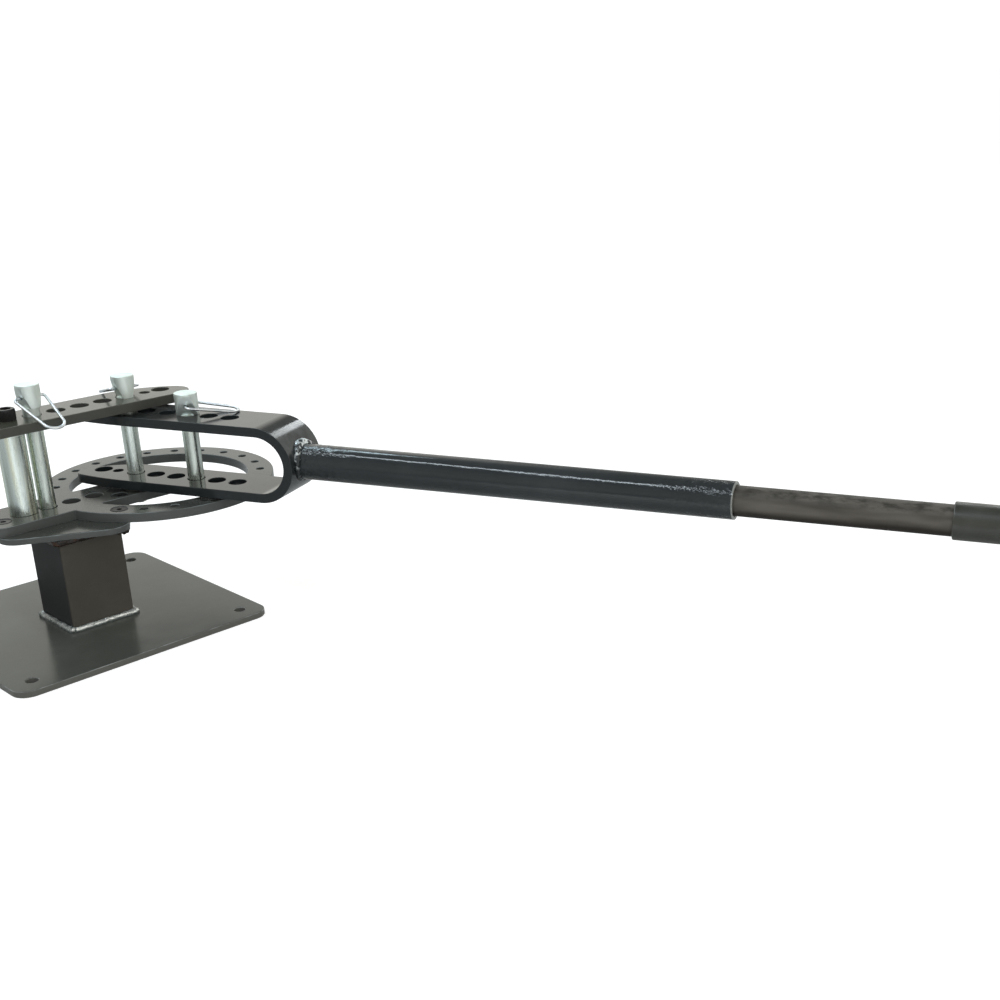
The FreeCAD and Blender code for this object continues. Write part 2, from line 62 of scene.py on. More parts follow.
def new_group(name, inputs, outputs):
    tree = bpy.data.node_groups.new(name, "ShaderNodeTree")
    for label, kind, value in inputs:
        socket = tree.interface.new_socket(name=label, in_out="INPUT", socket_type=kind)
        if value is not None:
            socket.default_value = value
    for label, kind in outputs:
        tree.interface.new_socket(name=label, in_out="OUTPUT", socket_type=kind)
    return tree, tree.nodes.new("NodeGroupInput"), tree.nodes.new("NodeGroupOutput")


def add_node(tree, kind, values=None, **settings):
    node = tree.nodes.new(kind)
    for key, value in settings.items():
        setattr(node, key, value)
    for key, value in (values or {}).items():
        node.inputs[key].default_value = value
    return node


def noise_node(tree, vector, scale, detail=3.0, roughness=0.5):
    values = {"Scale": scale, "Detail": detail, "Roughness": roughness}
    node = add_node(tree, "ShaderNodeTexNoise", values)
    tree.links.new(vector, node.inputs["Vector"])
    return node


def spread(tree, value, low, high, low_to, high_to):
    """Maps the range from low to high onto the range from low_to to high_to."""
    node = add_node(tree, "ShaderNodeMapRange", {1: low, 2: high, 3: low_to, 4: high_to})
    tree.links.new(value, node.inputs[0])
    return node


def combine(tree, operation, first, second):
    """One sum of two sockets or numbers."""
    node = add_node(tree, "ShaderNodeMath", operation=operation)
    for place, value in enumerate((first, second)):
        if isinstance(value, float):
            node.inputs[place].default_value = value
        else:
            tree.links.new(value, node.inputs[place])
    return node.outputs[0]


def split(tree, vector):
    node = add_node(tree, "ShaderNodeSeparateXYZ")
    tree.links.new(vector, node.inputs[0])
    return node.outputs


def enamel_group():
    """Orange peel, uneven gloss and dust of a sprayed film."""
    tree, given, result = new_group(
        "enamel_film",
        [
            ("Vector", "NodeSocketVector", None),
            ("Low Roughness", "NodeSocketFloat", 0.18),
            ("High Roughness", "NodeSocketFloat", 0.3),
        ],
        [("Peel", "NodeSocketFloat"), ("Roughness", "NodeSocketFloat"), ("Dust", "NodeSocketFloat")],
    )
    vector = given.outputs["Vector"]
    peel = noise_node(tree, vector, 260.0, 2.0)
    smudge = noise_node(tree, vector, 9.0, 5.0, 0.62)
    speck = noise_node(tree, vector, 420.0, 2.0, 0.7)
    even = add_node(tree, "ShaderNodeMapRange", {1: 0.35, 2: 0.7})
    tree.links.new(smudge.outputs["Fac"], even.inputs[0])
    tree.links.new(given.outputs["Low Roughness"], even.inputs[3])
    tree.links.new(given.outputs["High Roughness"], even.inputs[4])
    film = spread(tree, smudge.outputs["Fac"], 0.42, 0.72, 0.0, 0.8)
    specks = spread(tree, speck.outputs["Fac"], 0.66, 0.74, 0.0, 0.5)
    dust = combine(tree, "ADD", film.outputs[0], specks.outputs[0])
    tree.links.new(peel.outputs["Fac"], result.inputs["Peel"])
    tree.links.new(even.outputs[0], result.inputs["Roughness"])
    tree.links.new(dust, result.inputs["Dust"])
    return tree


def streak_group():
    """Fine lines and broad bands of drawn steel, along the way the vector is stretched."""
    tree, given, result = new_group(
        "drawn_streaks",
        [("Vector", "NodeSocketVector", None)],
        [("Streak", "NodeSocketFloat"), ("Band", "NodeSocketFloat")],
    )
    fine = noise_node(tree, given.outputs["Vector"], 900.0, 3.0)
    band = noise_node(tree, given.outputs["Vector"], 95.0, 1.5, 0.4)
    tree.links.new(fine.outputs["Fac"], result.inputs["Streak"])
    tree.links.new(band.outputs["Fac"], result.inputs["Band"])
    return tree


ENAMEL = enamel_group()
STREAKS = streak_group()


# Materials

# Height in metres of the orange peel in the flat enamels
PEEL_HEIGHT = 0.00002
# Heights in metres between which a pin's shank gives way to its head
HEAD_FOOT = (0.247, 0.25)
# Reaches in metres from the swing axis along the handle
WELD_WAVES = (0.255, 0.34)
END_WAVES = (0.7, 0.77)
WORN_RIM = (0.8, 0.8012)
# Heights in metres on the sliding tube: painted shade on the underside fades out, stains fade in
UNDERSIDE_SHADE_FADES = (0.188, 0.2)
STAINS_START = (0.208, 0.2155)


def new_material(name):
    material = bpy.data.materials.new(name)
    material.use_nodes = True
    tree = material.node_tree
    shader = tree.nodes["Principled BSDF"]
    place = tree.nodes.new("ShaderNodeTexCoord").outputs["Object"]
    return material, tree, shader, place


def stretched(tree, vector, scale, turn=0.0, location=(0.0, 0.0, 0.0)):
    """Points in object space, turned about Z and then stretched, for grain that runs one way."""
    node = add_node(tree, "ShaderNodeMapping", vector_type="TEXTURE")
    node.inputs["Location"].default_value = location
    node.inputs["Rotation"].default_value = (0.0, 0.0, turn)
    tree.links.new(vector, node.inputs["Vector"])
    size = add_node(tree, "ShaderNodeMapping")
    size.inputs["Scale"].default_value = scale
    tree.links.new(node.outputs["Vector"], size.inputs["Vector"])
    return size.outputs["Vector"]


def along_handle(tree, vector, scale=(1.0, 1.0, 1.0)):
    """Points with X along the handle, starting at the swing axis."""
    return stretched(tree, vector, scale, YOKE_ANGLE, tuple(SWING_AXIS * MM))


def blend_colours(tree, factor, first, second):
    node = add_node(tree, "ShaderNodeMix", data_type="RGBA")
    for label, value in (("A", first), ("B", second)):
        socket = [item for item in node.inputs if item.name == label and item.type == "RGBA"][0]
        if isinstance(value, tuple):
            socket.default_value = (*value, 1.0)
        else:
            tree.links.new(value, socket)
    tree.links.new(factor, node.inputs["Factor"])
    return [item for item in node.outputs if item.type == "RGBA"][0]


def bump(tree, shader, height, distance, before=None):
    node = add_node(tree, "ShaderNodeBump", {"Strength": 1.0, "Distance": distance})
    tree.links.new(height, node.inputs["Height"])
    if before is not None:
        tree.links.new(before, node.inputs["Normal"])
    tree.links.new(node.outputs["Normal"], shader.inputs["Normal"])
    return node.outputs["Normal"]


def faces_towards(tree, axis, low, high):
    """A mask that rises from low to high along one part of the face's direction."""
    normal = split(tree, add_node(tree, "ShaderNodeNewGeometry").outputs["Normal"])
    return spread(tree, normal[axis], low, high, 0.0, 1.0).outputs[0]


def lit_cut_faces(tree):
    """A mask of the upright faces, where a plate was cut out; their lighter colour is partly a rougher cut
    finish and partly painted light on the sides.
    """
    normal = split(tree, add_node(tree, "ShaderNodeNewGeometry").outputs["Normal"])
    upward = combine(tree, "ABSOLUTE", normal["Z"], 0.0)
    return spread(tree, upward, 0.25, 0.7, 1.0, 0.0).outputs[0]


def rubbed_and_lit_rims(tree, place):
    """A mask of the rounded rims between flat and cut faces, rubbed through here and there; their lighter
    colour is partly wear and partly a painted highlight along the rims.
    """
    normal = split(tree, add_node(tree, "ShaderNodeNewGeometry").outputs["Normal"])
    upward = combine(tree, "ABSOLUTE", normal["Z"], 0.0)
    rising = spread(tree, upward, 0.12, 0.35, 0.0, 1.0)
    falling = spread(tree, upward, 0.85, 0.98, 1.0, 0.0)
    rub = spread(tree, noise_node(tree, place, 45.0, 4.0, 0.6).outputs["Fac"], 0.36, 0.6, 0.15, 1.0)
    rim = combine(tree, "MULTIPLY", rising.outputs[0], falling.outputs[0])
    return combine(tree, "MULTIPLY", rim, rub.outputs[0])


def black_enamel(name, clean, dusty, edge, rim, low, high, ior):
    """Sprayed enamel, lighter on the cut faces and on rubbed rims: partly a rougher cut finish and wear,
    partly painted light on the upright sides and a painted highlight along the rims.
    """
    material, tree, shader, place = new_material(name)
    film = add_node(tree, "ShaderNodeGroup", node_tree=ENAMEL)
    tree.links.new(place, film.inputs["Vector"])
    film.inputs["Low Roughness"].default_value = low
    film.inputs["High Roughness"].default_value = high
    painted = blend_colours(tree, film.outputs["Dust"], clean, dusty)
    # Upright cut faces take a lighter colour: partly a rougher cut finish, partly painted light on the
    # sides
    colour = blend_colours(tree, lit_cut_faces(tree), painted, edge)
    # Rounded rims take a lighter colour: partly wear, partly a painted highlight
    colour = blend_colours(tree, rubbed_and_lit_rims(tree, place), colour, rim)
    tree.links.new(colour, shader.inputs["Base Color"])
    tree.links.new(film.outputs["Roughness"], shader.inputs["Roughness"])
    bump(tree, shader, film.outputs["Peel"], PEEL_HEIGHT)
    shader.inputs["IOR"].default_value = ior
    return material


def column_paint(name):
    """Flat black paint, dark blue on the sides and a lighter brown on the front faces: the front's colour
    is partly dust and partly painted light falling from the front.
    """
    material, tree, shader, place = new_material(name)
    film = add_node(tree, "ShaderNodeGroup", node_tree=ENAMEL)
    tree.links.new(place, film.inputs["Vector"])
    film.inputs["Low Roughness"].default_value = 0.34
    film.inputs["High Roughness"].default_value = 0.48
    clean = blend_colours(tree, film.outputs["Dust"], (0.015, 0.019, 0.024), (0.026, 0.029, 0.034))
    # The lighter brown is partly dust and partly painted light on the lit front
    dusty = blend_colours(tree, film.outputs["Dust"], (0.078, 0.073, 0.063), (0.106, 0.099, 0.086))
    # Painted light and dust: faces towards the front take the lighter brown colour
    front = faces_towards(tree, "Y", 0.2, -0.8)
    tree.links.new(blend_colours(tree, front, clean, dusty), shader.inputs["Base Color"])
    tree.links.new(film.outputs["Roughness"], shader.inputs["Roughness"])
    bump(tree, shader, film.outputs["Peel"], PEEL_HEIGHT)
    shader.inputs["IOR"].default_value = 1.14
    return material


def handle_enamel(name):
    """Thick glossy enamel whose film runs in waves near the tube's two ends."""
    material, tree, shader, place = new_material(name)
    film = add_node(tree, "ShaderNodeGroup", node_tree=ENAMEL)
    tree.links.new(place, film.inputs["Vector"])
    film.inputs["Low Roughness"].default_value = 0.08
    film.inputs["High Roughness"].default_value = 0.14
    along = along_handle(tree, place)
    reach = split(tree, along)["X"]
    near_weld = spread(tree, reach, *WELD_WAVES, 1.0, 0.0)
    near_end = spread(tree, reach, *END_WAVES, 0.0, 1.0)
    ends = combine(tree, "ADD", near_weld.outputs[0], near_end.outputs[0])
    waves = noise_node(tree, along, 110.0, 3.0, 0.6)
    swell = combine(tree, "MULTIPLY", waves.outputs["Fac"], combine(tree, "ADD", ends, 0.16))
    worn_rim = spread(tree, reach, *WORN_RIM, 0.0, 1.0)
    painted = blend_colours(tree, film.outputs["Dust"], (0.024, 0.029, 0.032), (0.04, 0.046, 0.05))
    colour = blend_colours(tree, worn_rim.outputs[0], painted, (0.3, 0.31, 0.3))
    tree.links.new(colour, shader.inputs["Base Color"])
    tree.links.new(film.outputs["Roughness"], shader.inputs["Roughness"])
    wavy = bump(tree, shader, swell, 0.0015)
    bump(tree, shader, film.outputs["Peel"], 0.00003, wavy)
    shader.inputs["IOR"].default_value = 1.4
    return material


def zinc(name, stretch, light, dark, shine, edge_tint, rough, head=None):
    """Bright plated steel in broad soft bands, with fine drawn lines and paler, duller heads."""
    material, tree, shader, place = new_material(name)
    shader.inputs["Metallic"].default_value = 1.0
    shader.inputs["Specular Tint"].default_value = (*edge_tint, 1.0)
    drawn = add_node(tree, "ShaderNodeGroup", node_tree=STREAKS)
    tree.links.new(stretched(tree, place, stretch), drawn.inputs["Vector"])
    tone = spread(tree, drawn.outputs["Band"], 0.4, 0.57, 0.0, 1.0)
    gleam = spread(tree, drawn.outputs["Band"], 0.55, 0.66, 0.0, 1.0)
    plated = blend_colours(tree, tone.outputs[0], dark, light)
    plated = blend_colours(tree, gleam.outputs[0], plated, shine)
    grain = spread(tree, drawn.outputs["Streak"], 0.3, 0.7, rough - 0.05, rough + 0.06)
    gloss = grain.outputs[0]
    if head is not None:
        on_head = spread(tree, split(tree, place)["Z"], *HEAD_FOOT, 0.0, 0.8)
        plated = blend_colours(tree, on_head.outputs[0], plated, head)
        gloss = combine(tree, "ADD", gloss, combine(tree, "MULTIPLY", on_head.outputs[0], 0.3))
    tree.links.new(plated, shader.inputs["Base Color"])
    tree.links.new(gloss, shader.inputs["Roughness"])
    bump(tree, shader, drawn.outputs["Streak"], 0.000012)
    return material


def worn_tube(name):
    """Rubbed grey steel, streaked along its length, with painted shade darkening its underside and stains
    along the top.
    """
    material, tree, shader, place = new_material(name)
    drawn = add_node(tree, "ShaderNodeGroup", node_tree=STREAKS)
    tree.links.new(along_handle(tree, place, (0.16, 1.0, 1.0)), drawn.inputs["Vector"])
    tone = spread(tree, drawn.outputs["Band"], 0.35, 0.65, 0.0, 1.0)
    steel = blend_colours(tree, tone.outputs[0], (0.078, 0.071, 0.062), (0.135, 0.125, 0.11))
    height = split(tree, place)["Z"]
    # Painted shade: below these heights the underside turns nearly black
    painted_underside_shade = spread(tree, height, *UNDERSIDE_SHADE_FADES, 0.9, 0.0)
    painted_underside_shade.interpolation_type = "SMOOTHSTEP"
    steel = blend_colours(tree, painted_underside_shade.outputs[0], steel, (0.009, 0.006, 0.004))
    upper = spread(tree, height, *STAINS_START, 0.0, 1.0)
    patches = noise_node(tree, along_handle(tree, place, (0.4, 1.0, 1.0)), 130.0, 4.0, 0.6)
    patch = spread(tree, patches.outputs["Fac"], 0.44, 0.62, 0.0, 0.75)
    stain = combine(tree, "MULTIPLY", upper.outputs[0], patch.outputs[0])
    steel = blend_colours(tree, stain, steel, (0.026, 0.024, 0.021))
    tree.links.new(steel, shader.inputs["Base Color"])
    rough = spread(tree, drawn.outputs["Band"], 0.3, 0.7, 0.4, 0.56)
    tree.links.new(rough.outputs[0], shader.inputs["Roughness"])
    bump(tree, shader, drawn.outputs["Streak"], 0.00003)
    shader.inputs["IOR"].default_value = 1.25
    return material


def plain_dark(name, colour, lighter, rough, grain_scale, grain_height, metallic=0.0, ior=1.45):
    """A dark, slightly uneven surface with a fine grain."""
    material, tree, shader, place = new_material(name)
    shader.inputs["Metallic"].default_value = metallic
    shader.inputs["IOR"].default_value = ior
    grain = noise_node(tree, place, grain_scale, 4.0, 0.6)
    patch = noise_node(tree, place, 35.0, 3.0)
    tone = spread(tree, patch.outputs["Fac"], 0.35, 0.7, 0.0, 1.0)
    tree.links.new(blend_colours(tree, tone.outputs[0], colour, lighter), shader.inputs["Base Color"])
    uneven = spread(tree, patch.outputs["Fac"], 0.3, 0.7, rough - 0.07, rough + 0.07)
    tree.links.new(uneven.outputs[0], shader.inputs["Roughness"])
    bump(tree, shader, grain.outputs["Fac"], grain_height)
    return material


def bead_enamel(name, dark, bare, bare_share, rough, rise, front=None, tint_scale=160.0):
    """Paint that has run off the crests of a weld, with burnt and bare spots left above a height and, when
    a facing is given, on the front faces; on the foot and yoke beads the bright spots are partly bare
    metal and partly a painted highlight on the lit upper side, leaving the lower part dark as painted
    shade.
    """
    material, tree, shader, place = new_material(name)
    spots = noise_node(tree, place, tint_scale, 3.0, 0.6)
    share = spread(tree, spots.outputs["Fac"], bare_share, bare_share + 0.08, 0.0, 1.0)
    # Painted light: bright spots only above this height, so the upper part reads lit and the lower part
    # dark
    higher = spread(tree, split(tree, place)["Z"], rise[0], rise[1], 0.0, 1.0)
    bare_and_lit_spots = combine(tree, "MULTIPLY", share.outputs[0], higher.outputs[0])
    if front is not None:
        bare_and_lit_spots = combine(tree, "MULTIPLY", bare_and_lit_spots, faces_towards(tree, "Y", *front))
    tree.links.new(blend_colours(tree, bare_and_lit_spots, dark, bare), shader.inputs["Base Color"])
    shine = spread(tree, spots.outputs["Fac"], 0.3, 0.7, rough - 0.05, rough + 0.1)
    tree.links.new(shine.outputs[0], shader.inputs["Roughness"])
    tree.links.new(combine(tree, "MULTIPLY", bare_and_lit_spots, 0.6), shader.inputs["Metallic"])
    fine = noise_node(tree, place, 700.0, 3.0)
    bump(tree, shader, fine.outputs["Fac"], 0.00005)
    shader.inputs["IOR"].default_value = 1.45
    return material


# The cut-face colours below are partly a rougher cut finish and partly painted light on the upright sides
BASE_LIT_CUT_FACE = (0.135, 0.135, 0.124)
# The rim colours below are partly wear and partly a painted highlight along the rounded rims
BASE_RIM_WEAR_AND_HIGHLIGHT = (0.26, 0.27, 0.27)
base_enamel = black_enamel(
    "base_enamel", (0.062, 0.066, 0.058), (0.086, 0.088, 0.078), BASE_LIT_CUT_FACE, BASE_RIM_WEAR_AND_HIGHLIGHT, 0.15, 0.27, 1.32)
PLATE_LIT_CUT_FACE = (0.09, 0.096, 0.094)
PLATE_RIM_WEAR_AND_HIGHLIGHT = (0.2, 0.225, 0.235)
plate_enamel = black_enamel(
    "plate_enamel", (0.055, 0.059, 0.053), (0.085, 0.088, 0.078), PLATE_LIT_CUT_FACE, PLATE_RIM_WEAR_AND_HIGHLIGHT, 0.16, 0.28, 1.3)
BAR_LIT_CUT_FACE = (0.068, 0.069, 0.062)
BAR_RIM_WEAR_AND_HIGHLIGHT = (0.13, 0.13, 0.115)
bar_enamel = black_enamel(
    "bar_enamel", (0.04, 0.041, 0.031), (0.062, 0.063, 0.048), BAR_LIT_CUT_FACE, BAR_RIM_WEAR_AND_HIGHLIGHT, 0.13, 0.24, 1.31)
YOKE_LIT_CUT_FACE = (0.019, 0.023, 0.025)
YOKE_RIM_WEAR_AND_HIGHLIGHT = (0.05, 0.056, 0.058)
yoke_enamel = black_enamel(
    "yoke_enamel", (0.013, 0.0155, 0.0155), (0.022, 0.0245, 0.024), YOKE_LIT_CUT_FACE, YOKE_RIM_WEAR_AND_HIGHLIGHT, 0.1, 0.2, 1.37)
column_enamel = column_paint("column_enamel")
tube_enamel = handle_enamel("tube_enamel")
# Foot bead: bright spots kept to the upper front faces, partly bare steel and partly a painted highlight
# along the crest
foot_bead = bead_enamel(
    "foot_bead", (0.1, 0.118, 0.118), (0.8, 0.82, 0.8), 0.4, 0.16, (0.0095, 0.0115), (0.1, -0.6))
top_bead = bead_enamel(
    "top_bead", (0.018, 0.013, 0.011), (0.06, 0.032, 0.022), 0.5, 0.3, (0.118, 0.12))
# Yoke bead: bright spots kept to the upper half, partly bare steel and partly painted light from above;
# the lower half stays dark as painted shade
yoke_bead = bead_enamel(
    "yoke_bead", (0.03, 0.035, 0.038), (0.62, 0.67, 0.69), 0.49, 0.26, (0.196, 0.206), None, 110.0)
ZINC_LIGHT = (0.72, 0.8, 0.78)
ZINC_DARK = (0.46, 0.5, 0.46)
ZINC_SHINE = (0.84, 0.87, 0.72)
ZINC_RIM = (0.85, 0.84, 0.8)
ZINC_HEAD = (0.84, 0.92, 0.9)
pin_zinc = zinc(
    "pin_zinc", (1.0, 1.0, 0.05), ZINC_LIGHT, ZINC_DARK, ZINC_SHINE, ZINC_RIM, 0.24, ZINC_HEAD)
washer_zinc = zinc("washer_zinc", (1.0, 1.0, 1.0), ZINC_LIGHT, ZINC_DARK, ZINC_SHINE, ZINC_RIM, 0.28)
WIRE_LIGHT = (0.87, 0.9, 0.92)
WIRE_DARK = (0.7, 0.74, 0.78)
spring_wire = zinc("spring_wire", (1.0, 1.0, 1.0), WIRE_LIGHT, WIRE_DARK, WIRE_LIGHT, WIRE_DARK, 0.34)
black_oxide = plain_dark(
    "black_oxide", (0.018, 0.018, 0.019), (0.035, 0.034, 0.033), 0.36, 900.0, 0.00001, 0.6)
slide_tube = worn_tube("slide_tube")
grip_rubber = plain_dark(
    "grip_rubber", (0.03, 0.032, 0.026), (0.046, 0.048, 0.04), 0.4, 700.0, 0.00004, 0.0, 1.6)
cap_plastic = plain_dark(
    "cap_plastic", (0.012, 0.012, 0.013), (0.025, 0.025, 0.026), 0.42, 400.0, 0.00004)


# Finish of the solids

# Faces that meet at less than this are one flat face
FLAT_ANGLE = math.radians(0.3)
# Faces that meet at more than this have an edge to round
SHARP_ANGLE = math.radians(38.0)


def finish_solid(name, material, edge=0.0, segments=3):
    """Gives a solid its material, and rounds its cut edges by this many metres."""
    solid = nodes[name]
    mesh = solid.data
    mesh.materials.clear()
    mesh.materials.append(material)
    for face in mesh.polygons:
        face.use_smooth = True
    weld = solid.modifiers.new("merge_corners", "WELD")
    weld.merge_threshold = SAME_PLACE
    if edge > 0.0:
        flat = solid.modifiers.new("whole_faces", "DECIMATE")
        flat.decimate_type = "DISSOLVE"
        flat.angle_limit = FLAT_ANGLE
        bevel = solid.modifiers.new("rounded_edges", "BEVEL")
        bevel.width = edge
        bevel.segments = segments
        bevel.limit_method = "ANGLE"
        bevel.angle_limit = SHARP_ANGLE
        bevel.use_clamp_overlap = False
        shade = solid.modifiers.new("even_shading", "WEIGHTED_NORMAL")
        shade.weight = 100
        shade.keep_sharp = False


finish_solid("base_plate", base_enamel, 0.0011)
finish_solid("column", column_enamel, 0.0004)
finish_solid("mounting_plate", plate_enamel, 0.0012)
finish_solid("mounting_screws", black_oxide, 0.0003)
finish_solid("lower_frame_plate", plate_enamel, 0.0008)
finish_solid("upper_bar", bar_enamel, 0.0008)
finish_solid("yoke", yoke_enamel, 0.0008)
finish_solid("spacer_sleeve", pin_zinc, 0.0006)
finish_solid("clamp_screw", black_oxide, 0.0003)
finish_solid("lower_pivot_washer", washer_zinc, 0.0004)
finish_solid("upper_pivot_washer", washer_zinc, 0.0004)
for pin in ("frame_pin", "pivot_pin", "yoke_pin"):
    finish_solid(pin, pin_zinc, 0.0002)
    finish_solid(pin + "_bail", spring_wire)
finish_solid("handle_tube", tube_enamel, 0.0008)
finish_solid("handle_extension", slide_tube, 0.0004)
finish_solid("handle_grip", grip_rubber, 0.0018, 4)
finish_solid("handle_end_cap", cap_plastic, 0.0012)


# Weld beads

# Size in metres of a bead's small faces, and of the finer ones on the yoke's bead
BEAD_GRAIN = 0.0009
FINE_BEAD_GRAIN = 0.0008
# How far in millimetres, and how quickly along the run, the crescents wander
WANDER = 1.6
WANDER_RATE = 0.11
# How far a crescent's ends lag behind its middle, and how blunt its crest is
CRESCENT_BOW = 0.01
CREST_POWER = 1.7
# How quickly the coarse and the fine lumps follow one another
COARSE_LUMPS = 0.16
FINE_LUMPS = 0.4
# How far in millimetres a corner of the column swells its bead
CORNER_REACH = 11.0


def merged_copy(name):
    """A copy of a solid with its loose triangles joined."""
    shape = bmesh.new()
    shape.from_mesh(nodes[name].data)
    bmesh.ops.remove_doubles(shape, verts=shape.verts, dist=SAME_PLACE)
    return shape


def even_mesh(shape, grain):
    """The same form as an even net of small faces."""
    mesh = bpy.data.meshes.new("bead_form")
    shape.to_mesh(mesh)
    shape.free()
    holder = bpy.data.objects.new("bead_form", mesh)
    bpy.context.scene.collection.objects.link(holder)
    net = holder.modifiers.new("net", "REMESH")
    net.mode = "VOXEL"
    net.voxel_size = grain
    seen = holder.evaluated_get(bpy.context.evaluated_depsgraph_get())
    made = bpy.data.meshes.new_from_object(seen)
    bpy.data.objects.remove(holder)
    return made


def lay_bead(node, body, material, follow, share, pitch, ripple, lumps, grain=BEAD_GRAIN):
    """Draws a plain bead in towards its root and puts a hand-laid weld's forms on it.

    share is how much of the distance from the root stays, pitch the step from one
    crescent to the next, ripple and lumps the heights of the two forms.
    """
    made = even_mesh(merged_copy(node), grain)
    made.name = node + "_ripples"
    shape = bmesh.new()
    shape.from_mesh(made)
    bmesh.ops.recalc_face_normals(shape, faces=shape.faces)
    shape.normal_update()
    shifts = []
    for vert in shape.verts:
        point = vert.co / MM
        root, run, swell, fullness = follow(point)
        out = point - root
        wander = WANDER * noise.noise(Vector((run * WANDER_RATE, out.length * 0.02, 3.0)))
        phase = (run + wander) / pitch + CRESCENT_BOW * out.length ** 2
        crest = 1.0 - abs(2.0 * (phase - math.floor(phase)) - 1.0) ** CREST_POWER
        fine_place = point * FINE_LUMPS + Vector((9.0, 0.0, 0.0))
        lump = noise.noise(point * COARSE_LUMPS) + 0.5 * noise.noise(fine_place)
        height = ripple * (crest - 0.5) + lumps * swell * (lump + 0.3 * (swell - 1.0))
        shifts.append(((share * fullness - 1.0) * out + vert.normal * height * fullness) * MM)
    for vert, shift in zip(shape.verts, shifts):
        vert.co += shift
    bmesh.ops.smooth_vert(
        shape, verts=shape.verts, factor=0.25, use_axis_x=True, use_axis_y=True, use_axis_z=True)
    for face in shape.faces:
        face.smooth = True
    shape.to_mesh(made)
    shape.free()
    made.materials.clear()
    made.materials.append(material)
    piece = bpy.data.objects.new(node + "_ripples", made)
    bpy.context.scene.collection.objects.link(piece)
    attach(piece, body)
    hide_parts(node)


def round_the_column(plate_height, lumpy, fuller):
    """Follows the bead round the column, whose runs were started and ended at two of the corners."""
    def follow(point):
        place = point - COLUMN_CENTRE
        half = COLUMN_HALF
        near_x = min(max(place.x, -half), half)
        near_y = min(max(place.y, -half), half)
        root = COLUMN_CENTRE + Vector((near_x, near_y, plate_height))
        if abs(place.x) >= abs(place.y):
            run = place.y if place.x > 0 else 4.0 * half - place.y
        else:
            run = 2.0 * half - place.x if place.y > 0 else 6.0 * half + place.x
        at_corner = 0.0
        for side in (1.0, -1.0):
            gap = math.hypot(place.x - side * half, place.y + side * half)
            at_corner += math.exp(-(gap / CORNER_REACH) ** 2)
        return root, run, 1.0 + lumpy * at_corner, 1.0 + fuller * at_corner
    return follow


def round_the_handle(point):
    """Follows the bead where the tube meets the outside of the yoke's bend."""
    place = Matrix.Rotation(-YOKE_ANGLE, 3, "Z") @ (point - SWING_AXIS)
    turn = math.atan2(place.z - HANDLE_HEIGHT, place.y)
    rise = TUBE_RADIUS * math.sin(turn)
    reach = BEND_START + math.sqrt(BEND_RADIUS ** 2 - rise ** 2)
    on_line = Vector((reach, TUBE_RADIUS * math.cos(turn), HANDLE_HEIGHT + rise))
    root = SWING_AXIS + Matrix.Rotation(YOKE_ANGLE, 3, "Z") @ on_line
    fullness = 0.8 + 0.3 * math.sin(turn)
    return root, turn * TUBE_RADIUS, 1.0, fullness


round_the_foot = round_the_column(BASE_TOP, 0.8, 0.0)
round_the_top = round_the_column(COLUMN_TOP, 1.8, 0.55)
lay_bead("column_foot_weld", "base", foot_bead, round_the_foot, 0.7, 3.4, 0.45, 0.75)
lay_bead("column_top_weld", "base", top_bead, round_the_top, 0.85, 4.2, 0.5, 0.9)
lay_bead("yoke_weld", "yoke_arm", yoke_bead, round_the_handle, 0.74, 5.2, 0.7, 1.0, FINE_BEAD_GRAIN)


# Knurl on the head of the clamp screw, in millimetres

KNURL_TEETH = 48
KNURL_CREST_RADIUS = 10.75
KNURL_ROOT_RADIUS = 10.3
KNURL_RIM_RADIUS = 10.1
KNURL_ABOVE_FOOT = 1.4
KNURL_SHORTER_BY = 3.6
KNURL_CHAMFER = 0.5


def knurled_ring():
    """A straight-knurled sleeve of teeth round the screw head, chamfered at both rims."""
    shape = bmesh.new()
    made = bmesh.ops.create_circle(shape, segments=2 * KNURL_TEETH, radius=KNURL_CREST_RADIUS * MM)
    ring = made["verts"]
    for vert in ring[::2]:
        vert.co *= KNURL_ROOT_RADIUS / KNURL_CREST_RADIUS
    low, high = CLAMP_HEAD
    height = high - low - KNURL_SHORTER_BY
    for vert in ring:
        vert.co += (CLAMP_SCREW + Vector((0.0, 0.0, low + KNURL_ABOVE_FOOT))) * MM
    walls = bmesh.ops.extrude_edge_only(shape, edges=list(shape.edges))
    raised = [item for item in walls["geom"] if isinstance(item, bmesh.types.BMVert)]
    bmesh.ops.translate(shape, verts=raised, vec=(0.0, 0.0, height * MM))
    for edge_verts, lift in ((ring, -KNURL_CHAMFER), (raised, KNURL_CHAMFER)):
        edges = [e for e in shape.edges if all(v in edge_verts for v in e.verts)]
        rim = bmesh.ops.extrude_edge_only(shape, edges=edges)
        rim_verts = [item for item in rim["geom"] if isinstance(item, bmesh.types.BMVert)]
        centre = sum((v.co for v in rim_verts), Vector()) / len(rim_verts)
        for vert in rim_verts:
            out = vert.co - centre
            vert.co = centre + out * (KNURL_RIM_RADIUS * MM / out.length)
            vert.co.z += lift * MM
    bmesh.ops.recalc_face_normals(shape, faces=shape.faces)
    mesh = bpy.data.meshes.new("clamp_screw_knurl")
    shape.to_mesh(mesh)
    shape.free()
    mesh.materials.append(black_oxide)
    piece = bpy.data.objects.new("clamp_screw_knurl", mesh)
    bpy.context.scene.collection.objects.link(piece)
    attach(piece, "base")


knurled_ring()


# Floor, light and camera, in metres

